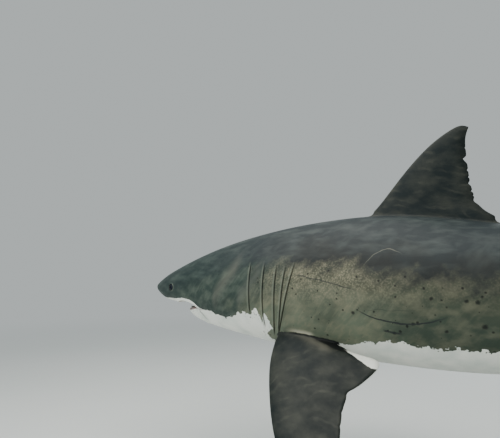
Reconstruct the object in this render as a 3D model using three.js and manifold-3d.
// A life-size great white shark, modelled still in a level glide, held over the
// floor by a plain display stand.  Millimetres, +Z up, head towards -X, left side
// towards -Y, origin at the centre of the underside of the stand's base.
//
// The body is described the way a fish is measured: a station is the distance behind
// the snout tip, and stations, half widths and levels are percent of total length.
// Levels count up from the snout tip.  The shark is built upright round that line, then
// banked and raised as a whole.

import * as THREE from 'three';
import { mergeVertices } from 'three/addons/utils/BufferGeometryUtils.js';
import Module from 'manifold-3d';

const wasm = await Module();
wasm.setup();

// ---------------------------------------------------------------- driving sizes

const TOTAL_LENGTH = 4000; // snout tip to upper tail tip
const PERCENT = TOTAL_LENGTH / 100;
const AXIS_HEIGHT = 1050; // snout tip above the floor
const BANK = 9; // degrees that the back leans to the left
const BASE_STATION = 42; // station over the centre of the base
const GAP = 0.35; // clearance between neighbouring solids

const TAIL_SWEEP = 6; // percent that the tail tips swing to the left
const SWEEP_START = 45; // station where the back begins to bend

// Body outline: station, back, belly, half width, level of the widest point, and the
// roundness of the upper and lower half of the section (2 is an ellipse).
const BODY = [
  [0.0, 0.0, 0.0, 0.0, 0.0, 2.0, 2.0],
  [1.0, 0.88, -1.0, 1.4, -0.1, 2.0, 2.2],
  [2.5, 1.75, -1.8, 2.25, -0.2, 2.0, 2.5],
  [5.0, 2.88, -2.75, 3.35, -0.3, 2.0, 2.8],
  [6.6, 3.53, -3.5, 3.95, -0.35, 2.0, 2.8],
  [8.0, 4.07, -4.15, 4.45, -0.45, 2.0, 2.6],
  [10.0, 4.78, -5.0, 5.05, -0.6, 2.0, 2.5],
  [12.5, 5.6, -5.45, 5.7, -0.75, 2.0, 2.4],
  [17.0, 6.82, -6.2, 6.75, -0.95, 2.0, 2.3],
  [22.0, 7.85, -6.9, 7.6, -1.05, 2.0, 2.25],
  [27.0, 8.6, -7.75, 8.15, -1.05, 1.95, 2.2],
  [32.0, 9.05, -8.2, 8.4, -1.0, 1.9, 2.15],
  [37.0, 9.2, -8.45, 8.45, -0.8, 1.85, 2.1],
  [43.0, 8.75, -8.65, 8.2, -0.6, 1.85, 2.1],
  [50.0, 7.45, -8.4, 7.4, -0.5, 1.9, 2.1],
  [57.0, 6.1, -7.3, 6.2, -0.45, 1.95, 2.1],
  [64.0, 4.75, -5.6, 4.7, -0.3, 2.0, 2.0],
  [71.0, 3.45, -3.85, 3.2, -0.1, 2.0, 2.0],
  [77.0, 2.45, -2.55, 2.05, 0.0, 2.0, 2.0],
  [82.0, 1.75, -1.7, 1.4, 0.0, 2.0, 2.0],
  [87.0, 1.05, -1.05, 0.75, 0.0, 2.0, 2.0],
  [91.0, 0.5, -0.5, 0.25, 0.0, 2.0, 2.0],
];
const BODY_END = 91;
const RING_SIDES = 26;
// Runs of rings: first station, last station, number of steps.  The first run crowds its
// rings towards the tip of the snout.
const TIP_RUN = [0.05, 2.4, 5];
const RING_RUNS = [
  [2.4, 6, 3],
  [6, 7.1, 1],
  [7.1, 7.8, 3],
  [7.8, 15, 7],
  [15, 72, 17],
  [72, 81.6, 5],
  [81.6, 84, 4],
  [84, BODY_END, 4],
];

const KEEL = { start: 68, full: 80, fade: 83, end: 91.5, width: 1.35, thickness: 0.38 };
const TAIL_PIT = { station: 82.8, length: 0.55, depth: 0.3 };

// The underside of the snout: station and level.  It steps down to the belly line at the
// chin, where the lower jaw begins.
const UNDERSIDE = [[0, 0], [1, -1.0], [2.5, -1.75], [4, -2.2], [6.6, -2.45], [9, -2.5]];
const CHIN = { front: 7.2, back: 7.75 };

const MOUTH = {
  // Levels of the upper and the lower lip along the side of the head.
  roof: [[5.5, -2.7], [6.7, -2.3], [7.7, -1.8], [9, -1.48], [10.8, -1.7], [12, -2.06], [12.8, -2.4]],
  floor: [[5.5, -3.9], [7.4, -3.55], [9.5, -3.05], [10.5, -2.73], [11.7, -2.46], [12.8, -2.42]],
  front: 5.5,
  corner: 12.8, // station of the corner of the mouth
  toothless: 0.5, // stretch ahead of the corner without teeth
  crease: 0.25, // how far the jaw's rear edge runs back per percent down
  jawTip: 7.35, // station where the lower jaw is a point in plan
  jawHalf: 5.2, // half width of the lower jaw at the corner
  cavity: { front: 8.2, back: 14.4, halfWidth: 3.4, roof: -1.0, floor: -4.1 },
};
const UPPER_TEETH = { count: 24, width: 24, length: 12, inset: 15, buried: 8 };
const LOWER_TEETH = { count: 22, width: 19, length: 17, inset: 13, buried: 8 };
const TOOTH = {
  clearance: 6, // between a tooth's tip and the other lip
  rearSize: 0.45, // size of the last teeth as a share of the front ones
  rearInset: 0.6,
  flatness: 0.45, // thickness as a share of the width
};

const EYE = {
  station: 6.0,
  level: 0.42,
  radius: 25,
  sunk: 17, // how far the ball's centre lies under the skin
  rim: 19, // radius of the opening at the ball
  rimDepth: 6,
  rimFlare: 6, // how much wider the opening is outside
  sides: 12,
};
const NOSTRIL = { station: 3.75, level: -1.4, length: 34, height: 9, depth: 13, turn: 0.5 };

// Gill slits, front to back: station of the upper end, levels of both ends, how far the
// slit leans forward as it goes down, and how far its foot hooks forward.
const GILLS = [
  [22.5, 4.3, -2.2, -0.1, 0],
  [24.7, 4.3, -4.0, 0.1, 0],
  [26.5, 4.0, -5.1, 0.3, 0.85],
  [27.8, 3.95, -4.4, 1.0, 0.6],
  [29.0, 4.3, -5.4, 2.5, 0.9],
];
const GILL = { width: 7, depth: 17, proud: 8, endOpening: 0.25, floorShare: 0.3, steps: 4 };

// Planes that part the body: station at snout level, and how far it leans back per
// percent of height.
const CUTS = [
  { name: 'head', station: 20.6, lean: 0.05 },
  { name: 'gill_region', station: 28.95, lean: 0.41 },
  { name: 'trunk_front', station: 52.8, lean: 0 },
  { name: 'trunk_rear', station: 64.5, lean: 0 },
  { name: 'tail_stock', station: 90, lean: 0 },
];

// The direction of a fin that hangs a number of degrees below level on the left side.
const hanging = (degrees) => {
  const angle = THREE.MathUtils.degToRad(degrees);
  return [0, Math.cos(angle), -Math.sin(angle)];
};

// Fins: leading and trailing edge from root to tip, as distance back and distance out
// from the root point; half thickness at root and tip, percent; rows of facets.
const FINS = {
  dorsal_fin_first: {
    root: [36.7, 0, 9.15],
    outward: [0, 0, 1],
    leading: [[-3.2, -1.0], [-1.0, -0.25], [0.36, 0.45], [1.6, 1.6], [4.6, 5.0], [7.75, 7.95],
      [9.9, 9.25], [10.9, 9.5], [11.6, 9.2]],
    trailing: [[9.6, -3.4], [12.2, -2.3], [14.7, -2.35], [14.4, -1.75], [12.4, -0.2], [11.6, 1.3],
      [11.25, 3.4], [11.15, 6.0], [11.2, 8.0], [11.6, 9.2]],
    thickness: [0.95, 0.07],
    rows: 26,
    notches: [[0.9, 0.7, 0.25], [5.6, 0.55, 0.5], [2.9, 0.4, 0.2]],
  },
  dorsal_fin_second: {
    root: [73.4, 0, 3.0],
    outward: [0, 0, 1],
    leading: [[-0.6, -0.5], [0, 0.1], [0.6, 0.75], [1.25, 1.3], [1.6, 1.42]],
    trailing: [[1.0, -0.6], [1.6, -0.15], [2.75, 0.0], [2.45, 0.3], [1.85, 0.7], [1.6, 1.42]],
    thickness: [0.16, 0.05],
    rows: 9,
  },
  anal_fin: {
    root: [75.0, 0, -2.85],
    outward: [0, 0, -1],
    leading: [[-0.6, -0.5], [0, 0.1], [0.7, 0.85], [1.35, 1.5], [1.75, 1.65]],
    trailing: [[1.0, -0.6], [1.7, -0.2], [2.9, 0.05], [2.6, 0.35], [1.95, 0.8], [1.75, 1.65]],
    thickness: [0.16, 0.05],
    rows: 9,
  },
  pectoral_fin: {
    root: [26.7, 7.0, -4.65],
    outward: hanging(33),
    leading: [[-1.2, -1.8], [-0.75, 0], [-0.6, 1.5], [-0.2, 4], [1.25, 8], [3.4, 12.1], [6.3, 15.6],
      [9.0, 17.7], [11.2, 18.5]],
    trailing: [[6.0, -1.8], [8.7, 0.9], [11.5, 1.95], [11.75, 2.8], [10.0, 5.3], [9.1, 7.4],
      [9.3, 10.5], [9.9, 14], [10.7, 17], [11.2, 18.5]],
    thickness: [0.85, 0.09],
    rows: 22,
    paired: true,
  },
  pelvic_fin: {
    root: [54.6, 2.6, -7.0],
    outward: hanging(40),
    leading: [[-0.8, -1.2], [0, 0], [1.3, 1.5], [2.9, 3.1], [4.0, 4.0], [4.6, 4.2]],
    trailing: [[3.4, -1.2], [4.6, 0.1], [6.6, 0.9], [6.5, 1.35], [5.5, 2.3], [4.85, 3.4], [4.6, 4.2]],
    thickness: [0.34, 0.06],
    rows: 11,
    paired: true,
  },
  caudal_fin_upper: {
    root: [0, 0, 0],
    outward: [0, 0, 1],
    leading: [[81.8, 0.5], [83.6, 1.6], [86, 3.9], [90, 8.0], [94.5, 11.9], [98, 14.1],
      [99.6, 14.75], [100, 14.75]],
    trailing: [[84, 0.02], [91.3, 0.02], [91.5, 1.2], [92.4, 4.2], [94.3, 8.2], [96.6, 11.4],
      [98.4, 13.3], [100, 14.75]],
    thickness: [0.95, 0.07],
    rows: 18,
    lobe: true,
  },
  caudal_fin_lower: {
    root: [0, 0, 0],
    outward: [0, 0, -1],
    leading: [[82.2, 0.5], [84, 1.6], [86.2, 3.9], [89.5, 7.6], [92.8, 10.6], [95.4, 12.3],
      [96.4, 12.75], [96.8, 12.75]],
    trailing: [[84, 0.03], [91.3, 0.03], [91.3, 1.2], [91.9, 3.8], [93.1, 7.0], [94.9, 10.4],
      [95.9, 11.8], [96.8, 12.75]],
    thickness: [0.95, 0.07],
    rows: 16,
    lobe: true,
  },
};
const FIN_COLUMNS = [0, 0.05, 0.28, 0.62, 1]; // shares of the chord where facets meet
const FIN_TAPER = 1.2; // how quickly fins thin towards the tip
const TRAILING_EDGE = 1.6; // half thickness, mm

const STAND = {
  base: { length: 1800, width: 760, height: 32, corner: 150, chamfer: 6 },
  rodRadius: 32,
  rodStations: [28.3, 57],
  foot: { radius: 95, height: 14, collarRadius: 48, collarHeight: 46, seat: 4 },
  bolt: { count: 4, circle: 74, radius: 9, height: 7, sides: 6, buried: 13 },
};
const ROUND = 18; // sides of round stand pieces
const CORNER_SEGMENTS = 4;

// ---------------------------------------------------------------- finishes

const finishes = {
  hide: { color: 0x5d6462, roughness: 0.55, metalness: 0 },
  fin: { color: 0x454d4e, roughness: 0.6, metalness: 0 },
  throat: { color: 0xd9dcd2, roughness: 0.55, metalness: 0 },
  eye: { color: 0x0a0d10, roughness: 0.08, metalness: 0 },
  base: { color: 0x1d1f21, roughness: 0.6, metalness: 0 },
  rod: { color: 0xb7babd, roughness: 0.35, metalness: 1 },
};

// ---------------------------------------------------------------- small mathematics

const clamp = (x, low, high) => Math.min(high, Math.max(low, x));
const smooth = (a, b, x) => {
  const t = clamp((x - a) / (b - a), 0, 1);
  return t * t * (3 - 2 * t);
};
const bell = (x) => Math.exp(-x * x);

// The natural cubic spline through points (xs[i], ys[i]), as a function.
function spline(xs, ys) {
  const n = xs.length;
  const curvature = new Array(n).fill(0);
  const upper = new Array(n).fill(0);
  for (let i = 1; i < n - 1; i++) {
    const before = xs[i] - xs[i - 1];
    const after = xs[i + 1] - xs[i];
    const turn = 6 * ((ys[i + 1] - ys[i]) / after - (ys[i] - ys[i - 1]) / before);
    const pivot = 2 * (before + after) - before * upper[i - 1];
    upper[i] = after / pivot;
    curvature[i] = (turn - before * curvature[i - 1]) / pivot;
  }
  for (let i = n - 2; i > 0; i--) curvature[i] -= upper[i] * curvature[i + 1];
  return (x) => {
    let k = 0;
    while (k < n - 2 && x > xs[k + 1]) k++;
    const d = xs[k + 1] - xs[k];
    const a = (xs[k + 1] - x) / d;
    const b = (x - xs[k]) / d;
    const bend = ((a ** 3 - a) * curvature[k] + (b ** 3 - b) * curvature[k + 1]) * d * d / 6;
    return a * ys[k] + b * ys[k + 1] + bend;
  };
}

// A smooth plane curve through a few points, as count evenly parted points.
function edge(points, count) {
  const at = [0];
  for (let i = 1; i < points.length; i++) {
    const step = Math.hypot(points[i][0] - points[i - 1][0], points[i][1] - points[i - 1][1]);
    at.push(at[i - 1] + Math.sqrt(step));
  }
  const back = spline(at, points.map((p) => p[0]));
  const out = spline(at, points.map((p) => p[1]));
  const last = at[at.length - 1];
  return Array.from({ length: count }, (_, i) => {
    const t = last * i / (count - 1);
    return [back(t), out(t)];
  });
}

// ---------------------------------------------------------------- solids

// A closed surface through rings of points, with a fan over each end.
function loft(rings) {
  const sides = rings[0].length;
  const centre = (ring) => ring.reduce((sum, p) => sum.add(p), new THREE.Vector3())
    .divideScalar(ring.length);
  const points = rings.flat();
  const first = points.push(centre(rings[0])) - 1;
  const last = points.push(centre(rings[rings.length - 1])) - 1;
  const faces = [];
  for (let j = 0; j < sides; j++) {
    const next = (j + 1) % sides;
    const end = (rings.length - 1) * sides;
    faces.push(first, next, j, last, end + j, end + next);
    for (let i = 0; i < rings.length - 1; i++) {
      const a = i * sides;
      const b = a + sides;
      faces.push(a + j, a + next, b + next, a + j, b + next, b + j);
    }
  }
  const geometry = new THREE.BufferGeometry().setFromPoints(points);
  return geometry.setIndex(faces);
}

// A geometry as a manifold-3d solid with its faces pointing out.
function solid(geometry) {
  const plain = geometry.clone();
  plain.deleteAttribute('normal');
  plain.deleteAttribute('uv');
  const merged = mergeVertices(plain, 1e-3);
  const make = (triVerts) => new wasm.Manifold(new wasm.Mesh({
    numProp: 3,
    vertProperties: merged.attributes.position.array,
    triVerts,
  }));
  const faces = new Uint32Array(merged.index.array);
  const made = make(faces);
  return made.volume() > 0 ? made : make(faces.reverse());
}

// The largest body of a solid that a cut has left in pieces.
function largest(cut) {
  return cut.decompose().reduce((a, b) => (a.volume() > b.volume() ? a : b));
}

function mesh(name, finish, made) {
  const data = made.getMesh();
  const geometry = new THREE.BufferGeometry();
  geometry.setAttribute('position', new THREE.BufferAttribute(data.vertProperties, 3));
  geometry.setIndex(new THREE.BufferAttribute(data.triVerts, 1));
  geometry.computeVertexNormals();
  const shown = new THREE.Mesh(geometry, new THREE.MeshStandardMaterial(finishes[finish]));
  shown.name = name;
  return shown;
}

// ---------------------------------------------------------------- body shape

// Splines run over the square root of the station, which rounds the tip of the snout.
const profile = (column) => {
  const f = spline(BODY.map((row) => Math.sqrt(row[0])), BODY.map((row) => row[column]));
  return (station) => f(Math.sqrt(station));
};
const backLine = profile(1);
const bellyLine = profile(2);
const halfWidth = profile(3);
const widestLevel = profile(4);
const upperRoundness = profile(5);
const lowerRoundness = profile(6);

const pit = (station) => TAIL_PIT.depth * bell((station - TAIL_PIT.station) / TAIL_PIT.length);
const underside = spline(UNDERSIDE.map((p) => Math.sqrt(p[0])), UNDERSIDE.map((p) => p[1]));
const back = (station) => backLine(station) - pit(station);

function belly(station) {
  const low = bellyLine(station) + pit(station);
  const chin = smooth(CHIN.front, CHIN.back, station);
  return chin < 1 ? low * chin + underside(Math.sqrt(station)) * (1 - chin) : low;
}

const keel = (station) => KEEL.width * smooth(KEEL.start, KEEL.full, station)
  * (1 - smooth(KEEL.fade, KEEL.end, station));

const lip = (points) => spline(points.map((p) => p[0]), points.map((p) => p[1]));
const upperLip = lip(MOUTH.roof);
const lowerLip = lip(MOUTH.floor);

// The section's half width at a level, before the jaw and the keels are formed.
function plainSide(station, level) {
  const middle = widestLevel(station);
  const reach = level > middle ? back(station) - middle : middle - belly(station);
  const roundness = level > middle ? upperRoundness(station) : lowerRoundness(station);
  const share = clamp(Math.abs(level - middle) / reach, 0, 1);
  return halfWidth(station) * (1 - share ** roundness) ** (1 / roundness);
}

// How much narrower the lower jaw is than the head above it, as a share at a level.
function jawNarrowing(station, level) {
  if (station <= MOUTH.jawTip || station >= MOUTH.corner) return 0;
  const open = smooth(upperLip(station), lowerLip(station), level);
  const share = (station - MOUTH.jawTip) / (MOUTH.corner - MOUTH.jawTip);
  const jaw = MOUTH.jawHalf * Math.sqrt(share);
  return open * Math.max(0, 1 - jaw / plainSide(station, lowerLip(station)));
}

// The body's half width at a station and level.
function sideAt(station, level) {
  const ridge = keel(station) * bell((level - widestLevel(station)) / KEEL.thickness);
  return plainSide(station, level) * (1 - jawNarrowing(station, level)) + ridge;
}

// Where a station, distance to the left and level lie, before the shark is banked and raised.
function place(station, left, level) {
  const bent = Math.max(0, station - SWEEP_START) / (100 - SWEEP_START);
  return new THREE.Vector3(
    (station - BASE_STATION) * PERCENT,
    -(left + TAIL_SWEEP * bent * bent) * PERCENT,
    level * PERCENT,
  );
}

function bodyRing(station, grow) {
  const middle = widestLevel(station);
  return Array.from({ length: RING_SIDES }, (_, j) => {
    const angle = 2 * Math.PI * j / RING_SIDES;
    const across = Math.cos(angle);
    const up = Math.sin(angle);
    const power = 2 / (up > 0 ? upperRoundness(station) : lowerRoundness(station));
    const reach = up > 0 ? back(station) - middle : middle - belly(station);
    const level = middle + reach * Math.sign(up) * Math.abs(up) ** power;
    const point = place(station, Math.sign(across) * sideAt(station, level), level);
    return point.add(new THREE.Vector3(0, -across * grow, up * grow));
  });
}

function bodyShape(grow = 0) {
  const [tip, tipEnd, tipSteps] = TIP_RUN;
  const stations = Array.from(
    { length: tipSteps + 1 },
    (_, i) => tip + (tipEnd - tip) * (i / tipSteps) ** 2,
  );
  for (const [from, to, steps] of RING_RUNS) {
    for (let i = 1; i <= steps; i++) stations.push(from + (to - from) * i / steps);
  }
  const rings = stations.map((station) => bodyRing(station, grow));
  if (grow) {
    rings.push(rings[rings.length - 1].map((p) => p.clone().add(new THREE.Vector3(grow, 0, 0))));
  }
  return loft(rings);
}

// ---------------------------------------------------------------- mouth, eyes, gills

const LIP_STEPS = 9;
const LIP_POINTS = 60; // points of the finer lip lines that carry the teeth
const LIP_SEARCH = 0.02; // step that finds where a lip meets the front of the body
const BLOCK_SIDE = 12; // half width of the blocks that cut the head
const BLOCK_FLOOR = -14; // level of their underside

// A block across the whole head whose side view is a polygon of stations and levels.
function sideBlock(polygon) {
  const outline = new THREE.Shape(polygon.map(([station, level]) => {
    const at = place(station, 0, level);
    return new THREE.Vector2(at.x, at.z);
  }));
  const across = 2 * BLOCK_SIDE * PERCENT;
  const made = new THREE.ExtrudeGeometry(outline, { depth: across, bevelEnabled: false });
  return solid(made.rotateX(Math.PI / 2).translate(0, across / 2, 0));
}

// A lip in side view, from the front of the mouth to its corner.
const lipSide = (levelAt, raise = 0) => Array.from({ length: LIP_STEPS + 1 }, (_, i) => {
  const station = MOUTH.front + (MOUTH.corner - MOUTH.front) * i / LIP_STEPS;
  return [station, levelAt(station) + raise];
});

// The gap between the lips, open to the front and sides.
const mouthSlot = () => sideBlock([...lipSide(lowerLip), ...lipSide(upperLip).reverse()]);

// All that lies below the lower lip and ahead of the crease behind the corner of the mouth.
function jawBlock(grow) {
  const corner = lowerLip(MOUTH.corner);
  return sideBlock([
    [MOUTH.front, BLOCK_FLOOR],
    [MOUTH.corner + MOUTH.crease * (corner - BLOCK_FLOOR) + grow, BLOCK_FLOOR],
    [MOUTH.corner + grow, corner + grow],
    ...lipSide(lowerLip, grow).reverse(),
  ]);
}

function mouthCavity() {
  const { front, back: end, halfWidth: side, roof, floor } = MOUTH.cavity;
  const made = new THREE.SphereGeometry(1, 16, 8);
  made.scale((end - front) / 2 * PERCENT, side * PERCENT, (roof - floor) / 2 * PERCENT);
  const middle = place((front + end) / 2, 0, (roof + floor) / 2);
  made.translate(middle.x, middle.y, middle.z);
  return solid(made);
}

// The points of one side of a lip, from the front to the corner of the mouth.
function lipLine(levelAt) {
  let front = MOUTH.front;
  while (belly(front) > levelAt(front)) front += LIP_SEARCH;
  const end = MOUTH.corner - MOUTH.toothless;
  return Array.from({ length: LIP_POINTS + 1 }, (_, i) => {
    const station = front + (end - front) * (i / LIP_POINTS) ** 2;
    const level = levelAt(station);
    return place(station, i ? sideAt(station, level) : 0, level);
  });
}

// A row of teeth inside a lip; direction is -1 for hanging teeth and 1 for standing ones.
function teeth(levelAt, { count, width, length, inset, buried }, direction) {
  const left = lipLine(levelAt);
  const right = left.slice(1).map((p) => new THREE.Vector3(p.x, -p.y, p.z)).reverse();
  const line = new THREE.CurvePath();
  const points = [...right, ...left];
  for (let i = 1; i < points.length; i++) line.add(new THREE.LineCurve3(points[i - 1], points[i]));
  const row = [];
  for (let i = 0; i < count; i++) {
    const share = (i + 0.5) / count;
    const middle = 1 - Math.abs(2 * share - 1); // 1 at the front of the jaw, 0 at its corners
    const at = line.getPointAt(share);
    const station = at.x / PERCENT + BASE_STATION;
    const room = (upperLip(station) - lowerLip(station)) * PERCENT - TOOTH.clearance;
    const grown = TOOTH.rearSize + (1 - TOOTH.rearSize) * Math.sqrt(middle);
    const size = Math.min(grown, room / length);
    const behind = inset * (TOOTH.rearInset + (1 - TOOTH.rearInset) * middle);
    const raised = (length + buried) * size / 2 - buried;
    const along = line.getTangentAt(share).setZ(0).normalize();
    const inward = new THREE.Vector3(-along.y, along.x, 0);
    if (inward.x < 0) inward.negate();
    const tooth = new THREE.ConeGeometry(width / 2 * size, (length + buried) * size, 4);
    tooth.scale(1, direction, TOOTH.flatness);
    const up = new THREE.Vector3(0, 0, 1);
    const stand = new THREE.Matrix4().makeBasis(along, up, along.clone().cross(up));
    stand.setPosition(at.addScaledVector(inward, behind).addScaledVector(up, direction * raised));
    row.push(solid(tooth.applyMatrix4(stand)));
  }
  return wasm.Manifold.union(row);
}

// The outward direction of the skin at a station and level, on the left side.
function skinNormal(station, level) {
  const d = 0.05;
  const at = (s, l) => place(s, sideAt(s, l), l);
  const along = at(station + d, level).sub(at(station - d, level));
  const up = at(station, level + d).sub(at(station, level - d));
  const normal = up.cross(along).normalize();
  return normal.y > 0 ? normal.negate() : normal;
}

const mirrored = (v, side) => new THREE.Vector3(v.x, side * v.y, v.z);

function eyeCentre(side) {
  const surface = place(EYE.station, sideAt(EYE.station, EYE.level), EYE.level);
  const sunk = surface.addScaledVector(skinNormal(EYE.station, EYE.level), -EYE.sunk);
  return mirrored(sunk, side);
}

function eyeball(side, grow = 0) {
  const made = new THREE.SphereGeometry(EYE.radius + grow, EYE.sides, EYE.sides / 2);
  const at = eyeCentre(side);
  return solid(made.translate(at.x, at.y, at.z));
}

// The shallow round opening in front of the eyeball.
function eyeRim(side) {
  const normal = mirrored(skinNormal(EYE.station, EYE.level), side);
  const outside = EYE.rim + EYE.rimFlare;
  const made = new THREE.CylinderGeometry(outside, EYE.rim, 2 * EYE.rimDepth, EYE.sides);
  made.applyQuaternion(new THREE.Quaternion().setFromUnitVectors(
    new THREE.Vector3(0, 1, 0), normal));
  const at = eyeCentre(side).addScaledVector(normal, EYE.sunk);
  return solid(made.translate(at.x, at.y, at.z));
}

function nostril(side) {
  const { station, level, length, height, depth, turn } = NOSTRIL;
  const normal = mirrored(skinNormal(station, level), side);
  const made = new THREE.SphereGeometry(1, 8, 6);
  made.scale(length / 2, height / 2, depth);
  made.rotateZ(side * turn);
  made.applyQuaternion(new THREE.Quaternion().setFromUnitVectors(
    new THREE.Vector3(0, 0, 1), normal));
  const at = mirrored(place(station, sideAt(station, level), level), side);
  return solid(made.translate(at.x, at.y, at.z));
}

// A thin curved wedge that cuts one gill slit, widest and deepest halfway down.
function gillCutter([topStation, topLevel, lowLevel, lean, hook], side) {
  const rings = [];
  for (let i = 0; i <= GILL.steps; i++) {
    const t = i / GILL.steps;
    const station = topStation - lean * t - hook * t ** 5;
    const level = topLevel + (lowLevel - topLevel) * t;
    const normal = skinNormal(station, level);
    const surface = place(station, sideAt(station, level), level);
    const open = GILL.endOpening + (1 - GILL.endOpening) * Math.sin(Math.PI * t);
    const half = GILL.width / 2 * open;
    const deepHalf = GILL.floorShare * half;
    const corner = (along, out) => mirrored(surface.clone()
      .addScaledVector(normal, out).add(new THREE.Vector3(along, 0, 0)), side);
    rings.push([
      corner(-half, GILL.proud),
      corner(half, GILL.proud),
      corner(deepHalf, -GILL.depth * open),
      corner(-deepHalf, -GILL.depth * open),
    ]);
  }
  return solid(loft(rings));
}

// ---------------------------------------------------------------- fins

// Half thickness across the chord: a rounded front edge, thickest at a third, thin behind.
const THICKEST = Math.sqrt(1 / 3) * (2 / 3);
const finSection = (share) => Math.sqrt(share) * (1 - share) / THICKEST;

// How far a ragged bite takes the trailing edge forward at a distance out from the root.
function bite(notches, out) {
  return notches.reduce((sum, [at, length, depth]) => sum + depth * bell((out - at) / length * 2), 0);
}

function finSolid({ root, outward, leading, trailing, thickness, rows, notches = [] }, side = 1) {
  const fore = edge(leading, rows);
  const aft = edge(trailing, rows);
  const out = new THREE.Vector3(...outward);
  const across = new THREE.Vector3(1, 0, 0).cross(out);
  const point = ([backward, outwards], off) => {
    const left = root[1] + out.y * outwards + across.y * off;
    const level = root[2] + out.z * outwards + across.z * off;
    return place(root[0] + backward, side * left, level);
  };
  const rings = fore.map((front, i) => {
    const t = i / (rows - 1);
    const half = (thickness[0] - thickness[1]) * (1 - t) ** FIN_TAPER + thickness[1];
    const bitten = i > rows / 4 ? bite(notches, aft[i][1]) : 0;
    const at = (share, sign) => point(
      [
        front[0] + (aft[i][0] - front[0]) * share - (share === 1 ? bitten : 0),
        front[1] + (aft[i][1] - front[1]) * share,
      ],
      sign * (half * finSection(share) + TRAILING_EDGE / PERCENT * Math.sqrt(share)),
    );
    const upper = FIN_COLUMNS.slice(1).map((share) => at(share, 1));
    const lower = FIN_COLUMNS.slice(1).reverse().map((share) => at(share, -1));
    return [at(0, 1), ...upper, ...lower];
  });
  return solid(loft(rings));
}

// ---------------------------------------------------------------- stand

function baseSolid() {
  const { length, width, height, corner, chamfer } = STAND.base;
  const [x, y] = [length / 2 - chamfer, width / 2 - chamfer];
  const outline = new THREE.Shape();
  outline.moveTo(-x + corner, -y);
  outline.lineTo(x - corner, -y);
  outline.absarc(x - corner, -y + corner, corner, -Math.PI / 2, 0);
  outline.lineTo(x, y - corner);
  outline.absarc(x - corner, y - corner, corner, 0, Math.PI / 2);
  outline.lineTo(-x + corner, y);
  outline.absarc(-x + corner, y - corner, corner, Math.PI / 2, Math.PI);
  outline.lineTo(-x, -y + corner);
  outline.absarc(-x + corner, -y + corner, corner, Math.PI, 1.5 * Math.PI);
  const made = new THREE.ExtrudeGeometry(outline, {
    depth: height - 2 * chamfer,
    bevelThickness: chamfer,
    bevelSize: chamfer,
    bevelSegments: 1,
    curveSegments: CORNER_SEGMENTS,
  });
  return solid(made.translate(0, 0, chamfer));
}

// A cylinder standing on a level.
function post(x, y, bottom, top, radius, sides = ROUND) {
  const made = new THREE.CylinderGeometry(radius, radius, top - bottom, sides);
  made.rotateX(Math.PI / 2);
  return solid(made.translate(x, y, (bottom + top) / 2));
}

// A round foot plate with a collar that takes the rod, and bolts round it.
function footSolid(x, floor) {
  const { foot, bolt, rodRadius } = STAND;
  let plate = post(x, 0, floor, floor + foot.height, foot.radius)
    .add(post(x, 0, floor, floor + foot.collarHeight, foot.collarRadius));
  for (let k = 0; k < bolt.count; k++) {
    const turn = 2 * Math.PI * (k + 0.5) / bolt.count;
    const boltX = x + bolt.circle * Math.cos(turn);
    const boltY = bolt.circle * Math.sin(turn);
    const top = floor + foot.height + bolt.height;
    plate = plate.add(post(boltX, boltY, floor + foot.height - bolt.buried, top, bolt.radius, bolt.sides));
  }
  return plate.subtract(post(x, 0, floor + foot.seat, floor + 2 * foot.collarHeight, rodRadius + GAP));
}

// ---------------------------------------------------------------- assembly

const group = new THREE.Group();
const shark = new THREE.Group();
shark.rotation.x = THREE.MathUtils.degToRad(BANK);
shark.position.z = AXIS_HEIGHT;
shark.updateMatrix();
group.add(shark);

const flesh = solid(bodyShape());
const around = solid(bodyShape(GAP));

// Lower jaw, head and eyes.
const clearance = GAP / PERCENT;
const cavity = mouthCavity();
const upperTeeth = teeth(upperLip, UPPER_TEETH, -1);
const lowerTeeth = teeth(lowerLip, LOWER_TEETH, 1);
const jaw = flesh.intersect(jawBlock(0)).subtract(cavity);
shark.add(mesh('lower_jaw', 'throat', largest(jaw.add(lowerTeeth))));

let carved = flesh.subtract(jawBlock(clearance)).subtract(mouthSlot()).subtract(cavity);
for (const side of [1, -1]) {
  carved = carved.subtract(eyeball(side, GAP)).subtract(eyeRim(side)).subtract(nostril(side));
  for (const gill of GILLS) carved = carved.subtract(gillCutter(gill, side));
  shark.add(mesh(side > 0 ? 'eye_left' : 'eye_right', 'eye', eyeball(side)));
}

// The body is parted by planes; each length runs from one plane to the next.
let rest = carved;
for (const { name, station, lean } of CUTS) {
  const normal = new THREE.Vector3(1, 0, -lean).normalize();
  const direction = normal.toArray();
  const at = normal.dot(place(station, 0, 0));
  const ahead = rest.trimByPlane(direction.map((v) => -v), -(at - GAP / 2));
  rest = rest.trimByPlane(direction, at + GAP / 2);
  shark.add(mesh(name, 'hide', largest(name === 'head' ? ahead.add(upperTeeth) : ahead)));
}

for (const [name, fin] of Object.entries(FINS)) {
  for (const side of fin.paired ? [1, -1] : [1]) {
    const full = fin.paired ? `${name}_${side > 0 ? 'left' : 'right'}` : name;
    let made = finSolid(fin, side).subtract(around);
    // The tail's two lobes meet at the level of the snout.
    if (fin.lobe) made = made.trimByPlane(fin.outward, GAP / 2);
    shark.add(mesh(full, 'fin', largest(made)));
  }
}

// The stand: a flat base, and two rods whose feet are bolted to it.
const { base, foot, rodRadius, rodStations } = STAND;
const floor = base.height + GAP;
const banked = solid(bodyShape(GAP).applyMatrix4(shark.matrix));
group.add(mesh('stand_base', 'base', baseSolid()));
rodStations.forEach((station, i) => {
  const where = i ? 'rear' : 'front';
  const { x } = place(station, 0, 0);
  group.add(mesh(`stand_foot_${where}`, 'base', footSolid(x, floor)));
  const rod = post(x, 0, floor + foot.seat + GAP, AXIS_HEIGHT, rodRadius).subtract(banked);
  group.add(mesh(`stand_rod_${where}`, 'rod', largest(rod)));
});

export default group;
